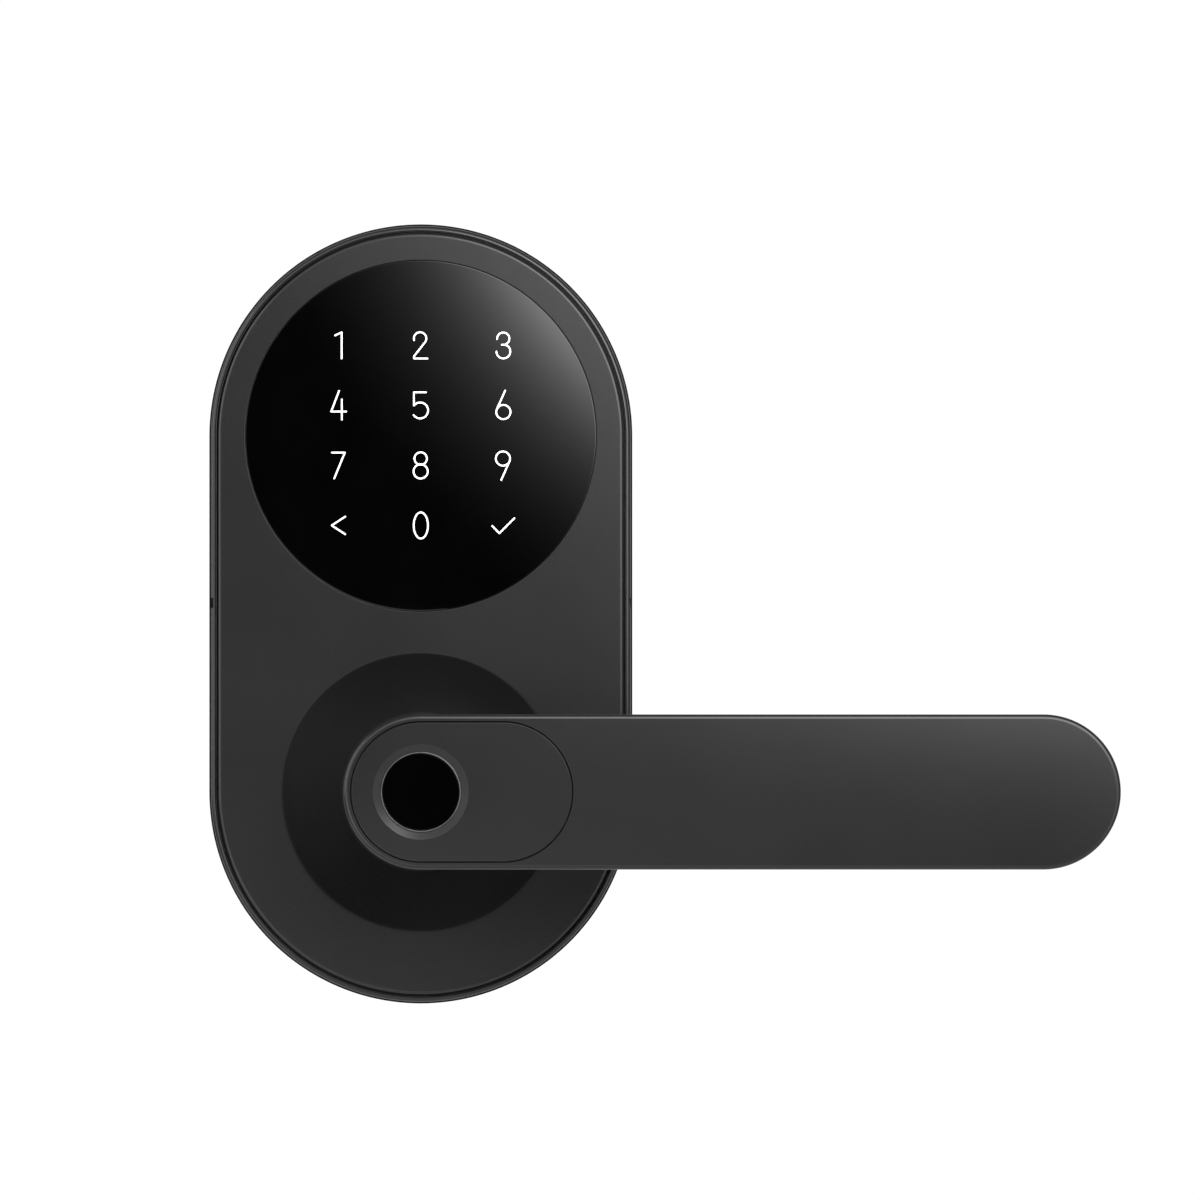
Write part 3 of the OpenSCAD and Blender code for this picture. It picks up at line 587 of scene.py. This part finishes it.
def add_world():
    """White as the camera sees it. The lock is lit by a soft studio, dark behind the camera."""
    world = bpy.data.worlds.new("studio")
    bpy.context.scene.world = world
    world.use_nodes = True
    nodes, links = world.node_tree.nodes, world.node_tree.links
    nodes.clear()
    place = nodes.new("ShaderNodeTexCoord").outputs["Generated"]

    def link(a, socket):
        if isinstance(a, (int, float)):
            socket.default_value = a
        else:
            links.new(a, socket)

    def number(operation, a, b=0.0):
        made = nodes.new("ShaderNodeMath")
        made.operation = operation
        link(a, made.inputs[0])
        link(b, made.inputs[1])
        return made.outputs[0]

    def angle_from(direction):
        made = nodes.new("ShaderNodeVectorMath")
        made.operation = "DOT_PRODUCT"
        links.new(place, made.inputs[0])
        made.inputs[1].default_value = Vector(direction).normalized()
        return number("ARCCOSINE", number("MINIMUM", made.outputs["Value"], LARGEST_COSINE))

    def ramp(value, start, end, low, high):
        made = nodes.new("ShaderNodeMapRange")
        made.interpolation_type = "SMOOTHSTEP"
        link(value, made.inputs["Value"])
        limits = {"From Min": start, "From Max": end, "To Min": low, "To Max": high}
        for socket, n in limits.items():
            made.inputs[socket].default_value = n
        return made.outputs["Result"]

    front = angle_from((0, -1, 0))
    studio = ramp(front, DARK_ANGLE, SIDE_ANGLE, DARK, SIDE)
    below = ramp(angle_from((0, 0, -1)), BELOW_FROM, BELOW_TO, BELOW, 1.0)
    edge = ramp(front, SIDE_ANGLE, EDGE_ANGLE, 1.0, EDGE)
    around = number("ADD", edge, ramp(front, *BEHIND_ANGLES, 0.0, BEHIND))
    light = number("MULTIPLY", number("MULTIPLY", studio, below), around)
    rays = nodes.new("ShaderNodeLightPath").outputs["Is Camera Ray"]
    lit = number("MULTIPLY", light, number("SUBTRACT", 1.0, rays))
    seen = number("MULTIPLY", rays, BACKDROP)
    background = nodes.new("ShaderNodeBackground")
    links.new(number("ADD", lit, seen), background.inputs["Strength"])
    background.inputs["Color"].default_value = (1, 1, 1, 1)
    output = nodes.new("ShaderNodeOutputWorld")
    links.new(background.outputs["Background"], output.inputs["Surface"])


def add_floor():
    """Round pale floor below the lock."""
    bm = bmesh.new()
    bmesh.ops.create_circle(bm, cap_ends=True, radius=FLOOR_R, segments=ROUND)
    bmesh.ops.translate(bm, verts=bm.verts, vec=(0, 0, FLOOR_UP))
    mesh = bpy.data.meshes.new("floor")
    bm.to_mesh(mesh)
    bm.free()
    floor = add_object("floor", mesh)
    s = Surface("floor", Roughness=0.8)
    s.colour((0.91, 0.91, 0.91), (0.94, 0.94, 0.94), s.noise(300, 2))
    mesh.materials.append(s.material)


def add_studio():
    add_world()
    add_floor()
    add_soft_box()
    for light in LIGHTS:
        add_light(*light)
    bpy.context.scene.view_settings.view_transform = "Standard"


# ---- Case ----


def door_gasket():
    r, back, front = gasket.right, gasket.back, gasket.front
    inner = r - GASKET_W
    shell = Shell()
    shell.wall(stadium(RISE, True), rounded([
        (r, back, GASKET_EDGE), (r, front, 0.06), (inner, front, GASKET_EDGE),
        (inner, back, GASKET_EDGE)], True), True)
    piece("door_seal", shell.mesh("door_seal"), "case", "black_rubber", "door_gasket")


def side_band():
    r, back, front = band.right, band.back, band.front
    pocket, inner = panel.right + 0.25, back_plate.right + 0.1
    shell = Shell()
    shell.wall(stadium(RISE, True), rounded([
        (r, back, 0.15), (r, front, 0.8), (pocket, front, 0.12), (pocket, PANEL_BACK, 0.1),
        (inner, PANEL_BACK, 0.15), (inner, back, 0.15)], True), True)
    mesh = shell.mesh("case_band")
    for side in (-1, 1):
        mesh = carve(mesh, block((side * r, NOTCH_UP, front), NOTCH_HALF))
    mesh = carve(mesh, port_slot())
    piece("case_band", mesh, "case", "case_paint", "side_band")


def port_slot():
    """Shape of the slot for the port's cover, in the lower edge of the case."""
    r = (port.front - port.back) / 2 + PORT_GAP
    run = port.right - port.left + 2 * PORT_GAP - 2 * r
    points = [(x - run / 2, y) for x, y in stadium(run, count=SMALL_ROUND)(r)]
    middle = (port.front + port.back) / 2
    return upright_prism(points, port.low - PORT_REACH, port.high + PORT_REACH, middle)


def dish_profile():
    """The dish from the front face down its spherical wall to the neck bush."""
    sphere = math.hypot(DISH_R, DISH_CENTRE - panel.front)
    steps = 40
    top, bottom = DISH_R - 0.18, DISH_FLOOR_R + 0.3
    wall = []
    for i in range(steps + 1):
        r = top + (bottom - top) * i / steps
        wall.append((r, DISH_CENTRE - math.sqrt(sphere**2 - r**2)))
    rim = [(DISH_R + r, panel.front - drop)
           for r, drop in ((0.4, 0), (0.22, 0), (0.12, 0.012), (0.03, 0.04), (-0.07, 0.09))]
    floor = [(DISH_FLOOR_R + 0.1, DISH_FLOOR + 0.03), (DISH_FLOOR_R - 0.15, DISH_FLOOR)]
    bore, underside = bush.right - BUSH_LIP + RUNNING_GAP, DISH_FLOOR - DISH_WALL
    under = [(bore, DISH_FLOOR), (bore, underside)]
    outer = []
    for i in range(steps + 1):
        out = underside + (PANEL_BACK - underside) * i / steps
        outer.append((math.sqrt((sphere + DISH_WALL) ** 2 - (DISH_CENTRE - out) ** 2), out))
    return rim + wall + floor + under + outer


def front_panel():
    front, r = panel.front, panel.right
    hole, seat = glass.right + 0.1, mask.right + 0.5
    shelf, step = mask.front, mask.front - 2
    shell = Shell()
    outer = shell.wall(stadium(RISE, True), rounded([
        (r - 1, front, 0), (r, front, 0.6), (r, PANEL_BACK, 0.15), (r - 0.6, PANEL_BACK, 0)]))
    keypad = shell.wall(circle((0, RISE)), rounded([
        (hole + 0.5, front, 0), (hole, front, 0.08), (hole, shelf, 0.1), (seat, shelf, 0.1),
        (seat, step, 0.1), (hole + 1.5, step, 0.2), (hole + 1.5, PANEL_BACK, 0.2),
        (hole + 2, PANEL_BACK, 0)]))
    dish = shell.wall(circle(), dish_profile())
    shell.face(outer[0], keypad[0], dish[0])
    shell.face(outer[1], keypad[1], dish[1])
    piece("case_front", shell.mesh("case_front"), "case", "case_paint", "front_panel")


def crown(distance):
    """How far out the glass's domed face is at a distance from its middle."""
    rise = glass.front - GLASS_EDGE
    sphere = (glass.right**2 + rise**2) / (2 * rise)
    return glass.front - sphere + math.sqrt(sphere**2 - distance**2)


def keypad_glass():
    r, back = glass.right, glass.back
    start, steps = r - 0.45, 30
    edge = rounded([(0, back, 0), (r, back, 0.15), (r, crown(r), 0.07), (start, crown(start), 0)])
    radii = [start * (1 - i / steps) for i in range(1, steps + 1)]
    dome = [(radius, crown(radius)) for radius in radii]
    shell = Shell()
    shell.wall(circle((0, RISE)), edge + dome)
    piece("glass_lens", shell.mesh("glass_lens"), "case", "black_glass", "keypad_glass")


def neck_bush():
    r, body = bush.right, bush.right - BUSH_LIP
    bore, front = body - BUSH_WALL, DISH_FLOOR + BUSH_FLANGE
    shell = Shell()
    shell.wall(circle(), rounded([
        (bore, bush.back, 0.1), (body, bush.back, 0.2), (body, DISH_FLOOR, 0.05),
        (r, DISH_FLOOR, 0.15), (r, front, 0.3), (bore, front, 0.2)], True), True)
    piece("neck_ring", shell.mesh("neck_ring"), "case", "black_plastic", "neck_bush")


# ---- Characters on the glass ----

# Width of a stroke, pitch of the keys, and how far a character reaches over and under the face.
STROKE = 0.28
COLUMN, ROW = 14.8, 10.8
PRINT = 0.02
KEYS = [["1", "2", "3"], ["4", "5", "6"], ["7", "8", "9"], ["back", "0", "tick"]]


def arc(x, y, r, start, end, rise=None):
    """Points on an arc, or on an oval if rise gives its other radius."""
    count = max(8, round(abs(end - start) / 7))
    turns = [math.radians(start + (end - start) * i / count) for i in range(count + 1)]
    return [(x + r * math.cos(a), y + (rise or r) * math.sin(a)) for a in turns]


SIX = [arc(0.04, -1.12, 1.28, 0, 360), [(0.35, 2.73), (-1.13, -0.6)]]
# Each character is drawn as paths of strokes about the middle of its key.
CHARACTERS = {
    "1": [[(-0.6, 1.85), (0.57, 2.4), (0.57, -2.3)]],
    "2": [arc(-0.13, 1.3, 1.12, 196, -32), [(0.82, 0.7), (-1.22, -1.9), (-1.22, -2.3), (1.2, -2.3)]],
    "3": [arc(0.02, 1.27, 1.1, 184, -62), [(-0.26, 0.18), (0.4, 0.18)],
          arc(0.04, -1.04, 1.25, 76, -180)],
    "4": [[(0.11, 2.7), (-1.3, -1.03), (1.4, -1.03)], [(0.6, 1.15), (0.6, -2.5)]],
    "5": [[(0.93, 2.42), (-1.24, 2.42), (-1.24, 0.07)], arc(-0.12, -0.84, 1.43, 141, -144)],
    "6": SIX,
    "7": [[(-1.17, 2.39), (1.14, 2.39), (-0.75, -2.25)]],
    "8": [arc(-0.03, 1.32, 1.12, 0, 360), arc(-0.03, -0.99, 1.28, 0, 360)],
    "9": [[(-x, 0.2 - y) for x, y in path] for path in SIX],
    "0": [arc(0, 0.1, 1.28, 0, 360, 2.35)],
    "back": [[(1.2, 1.68), (-1.22, 0.1), (1.2, -1.48)]],
    "tick": [[(-1.95, 0), (-0.68, -1.29), (2, 1.39)]],
}


def outline_of(a, b):
    """Outline of a straight stroke with round ends."""
    heading = math.atan2(b[1] - a[1], b[0] - a[0])
    half = 8
    turns = [heading + math.pi / 2 + math.pi * i / half for i in range(half + 1)]
    r = STROKE / 2
    first = [(a[0] + r * math.cos(t), a[1] + r * math.sin(t)) for t in turns]
    second = [(b[0] - r * math.cos(t), b[1] - r * math.sin(t)) for t in turns]
    return first + second


def to_stroke(point, a, b):
    """Distance from a point to a straight stroke's middle line."""
    place, start, end = (Vector((*p, 0)) for p in (point, a, b))
    share = min(1, max(0, geometry.intersect_point_line(place, start, end)[1]))
    near = [p + share * (q - p) for p, q in zip(a, b)]
    return math.hypot(point[0] - near[0], point[1] - near[1])


def print_character(bm, paths, x0, y0):
    """Adds one character as the union of its strokes, raised a little from the glass's face."""
    strokes = [pair for path in paths for pair in zip(path, path[1:])]
    points, edges = [], []
    for a, b in strokes:
        outline = outline_of(a, b)
        first = len(points)
        points += [Vector(p) for p in outline]
        edges += [(first + i, first + (i + 1) % len(outline)) for i in range(len(outline))]
    found = geometry.delaunay_2d_cdt(points, edges, [], 0, 1e-5, True)
    places, faces = found[0], found[2]
    low, high = {}, {}

    def vert(store, i, lift):
        if i not in store:
            x, y = x0 + places[i][0], y0 + places[i][1]
            store[i] = bm.verts.new(at(x, RISE + y, crown(math.hypot(x, y)) + lift))
        return store[i]

    sides = {}
    for corners in faces:
        middle = sum((places[c] for c in corners), Vector((0, 0))) / len(corners)
        if min(to_stroke(middle, a, b) for a, b in strokes) > STROKE / 2:
            continue
        bm.faces.new([vert(high, c, PRINT) for c in corners])
        bm.faces.new([vert(low, c, -PRINT) for c in reversed(corners)])
        for a, b in zip(corners, corners[1:] + corners[:1]):
            if sides.pop((b, a), None) is None:
                sides[(a, b)] = True
    for a, b in sides:
        bm.faces.new([high[b], high[a], low[a], low[b]])


def key_legends():
    shell = Shell()
    for row, names in enumerate(KEYS):
        for column, name in enumerate(names):
            print_character(shell.bm, CHARACTERS[name], (column - 1) * COLUMN, (1.5 - row) * ROW)
    piece("key_characters", shell.mesh("key_characters"), "case", "legend_light", "key_legends")


# ---- Lever ----

# Radius of the lever's bowed front face, and the lengths between the middles of the round ends.
CROWN_R = 380.0
LEVER_RUN = lever.right - lever.high
PLATE_RUN = plate.right - plate.high


def crowned(limit):
    """Rule that bows what lies in front of a limit, so that its long edges fall away a little."""
    return lambda x, up, out: (x, up, out - up * up / (2 * CROWN_R) if out > limit else out)


def lever_handle():
    r, front = lever.high, lever.front
    back = hub.front - 2
    neck = bush.right - BUSH_LIP - BUSH_WALL - RUNNING_GAP
    pocket = plate.high + 0.24
    pocket_floor = adhesive.back
    well_r, well_floor = sensor_board.right + 0.1, sensor_board.back
    shell = Shell()
    body = shell.wall(stadium(LEVER_RUN), rounded([
        (r - 0.97, front, 0), (r, front, 0.8), (r, back, 2.0), (r - 2.15, back, 0)]))
    recess = shell.wall(stadium(PLATE_RUN), rounded([
        (pocket + 0.12, front, 0), (pocket, front, 0.04), (pocket, pocket_floor, 0.1),
        (pocket - 0.4, pocket_floor, 0)]))
    inner = shell.wall(circle(), rounded([
        (well_r + 0.3, pocket_floor, 0), (well_r, pocket_floor, 0.1), (well_r, well_floor, 0.1),
        (LEAD_R, well_floor, 0.1), (LEAD_R, hub.front, 0.1), (HUB_R, hub.front, 0.1),
        (HUB_R, lever.back, 0.1), (neck, lever.back, 0.3), (neck, back, 0.1), (neck + 0.2, back, 0)]))
    shell.face(body[0], recess[0], pitch=2)
    shell.face(recess[1], inner[0])
    shell.face(body[1], inner[1])
    shell.bend(crowned(pocket_floor + 0.5))
    middle = (grub.front + grub.back) / 2
    hole = upright_prism(circle(count=SMALL_ROUND)(GRUB_HOLE_R), -2, -r, middle)
    mesh = carve(shell.mesh("lever_bar"), hole)
    piece("lever_bar", mesh, "lever", "lever_paint", "lever_handle")


def face_plate():
    r, front, back = plate.high - 0.04, plate.front, plate.back
    hole = ring.right + 0.05
    sink = hole + SINK
    shell = Shell()
    edge = shell.wall(stadium(PLATE_RUN), rounded([
        (r - 0.5, front, 0), (r, front, 0.06), (r, back, 0.1), (r - 0.4, back, 0)]))
    cone = shell.wall(circle(), rounded([
        (sink + 0.4, front, 0), (sink, front, 0.1), (hole, ring.front, 0.06), (hole, back, 0.1),
        (hole + 0.4, back, 0)]))
    shell.face(edge[0], cone[0], pitch=2)
    shell.face(edge[1], cone[1])
    shell.bend(crowned(front - 0.4))
    piece("lever_badge", shell.mesh("lever_badge"), "lever", "lever_paint", "face_plate")


def fingerprint_sensor():
    r, flange = ring.right - 0.25, sensor.right
    seat = sensor_board.front
    step = seat + 0.6
    shell = Shell()
    shell.wall(circle(), rounded([
        (0, seat, 0), (flange, seat, 0.1), (flange, step, 0.1), (r, step, 0.05),
        (r, sensor.front, 0.12), (r - 0.4, sensor.front, 0), (0, sensor.front, 0)]))
    piece("sensor_window", shell.mesh("sensor_window"), "lever", "sensor_glass", "fingerprint_sensor")


def sensor_ring():
    r, bore = ring.right, ring.right - 0.2
    shell = Shell()
    shell.wall(circle(), rounded([
        (bore, ring.back, 0.03), (r, ring.back, 0.03), (r, ring.front, 0.07),
        (bore, ring.front, 0.04)], True), True)
    piece("sensor_bezel", shell.mesh("sensor_bezel"), "lever", "bright_metal", "sensor_ring")


# ---- Back of the lock ----


def spindle_bar():
    """Square bar with rounded edges."""
    low = (spindle.left, spindle.low, spindle.back)
    high = (spindle.right, spindle.high, spindle.front)
    centre = [(a + b) / 2 for a, b in zip(low, high)]
    shell = block(centre, [(b - a) / 2 for a, b in zip(low, high)])
    bmesh.ops.bevel(shell.bm, geom=shell.bm.edges[:], offset=0.5 * MM, segments=3, profile=0.5,
                    affect="EDGES")
    piece("spindle_bar", shell.mesh("spindle_bar"), "spindle", "spindle_steel", "spindle")


def mounting_posts():
    shell = Shell()
    for side in (-1, 1):
        centre = (side * (posts.right - POST_R), 0)
        shell.wall(circle(centre, SMALL_ROUND), rounded([
            (POST_BORE_R, posts.back, 0.3), (POST_R, posts.back, 0.5), (POST_R, gasket.front, 0.1),
            (SPIGOT_R, gasket.front, 0.05), (SPIGOT_R, posts.front, 0.3),
            (POST_BORE_R, posts.front, 0.3)], True), True)
    piece("screw_posts", shell.mesh("screw_posts"), "case", "plated_steel", "mounting_posts")


def finish_cad_nodes():
    """Gives each CAD node its slot's material."""
    for part in frame["record"]["subparts"]:
        node = frame["nodes"][part["node"]]
        node.data.materials.clear()
        node.data.materials.append(MATERIALS[part["material_slot"]])
        crease(node.data)


add_camera()
add_studio()
finish_cad_nodes()
for build in (door_gasket, side_band, front_panel, keypad_glass, neck_bush, key_legends, lever_handle,
              face_plate, fingerprint_sensor, sensor_ring, spindle_bar, mounting_posts):
    build()
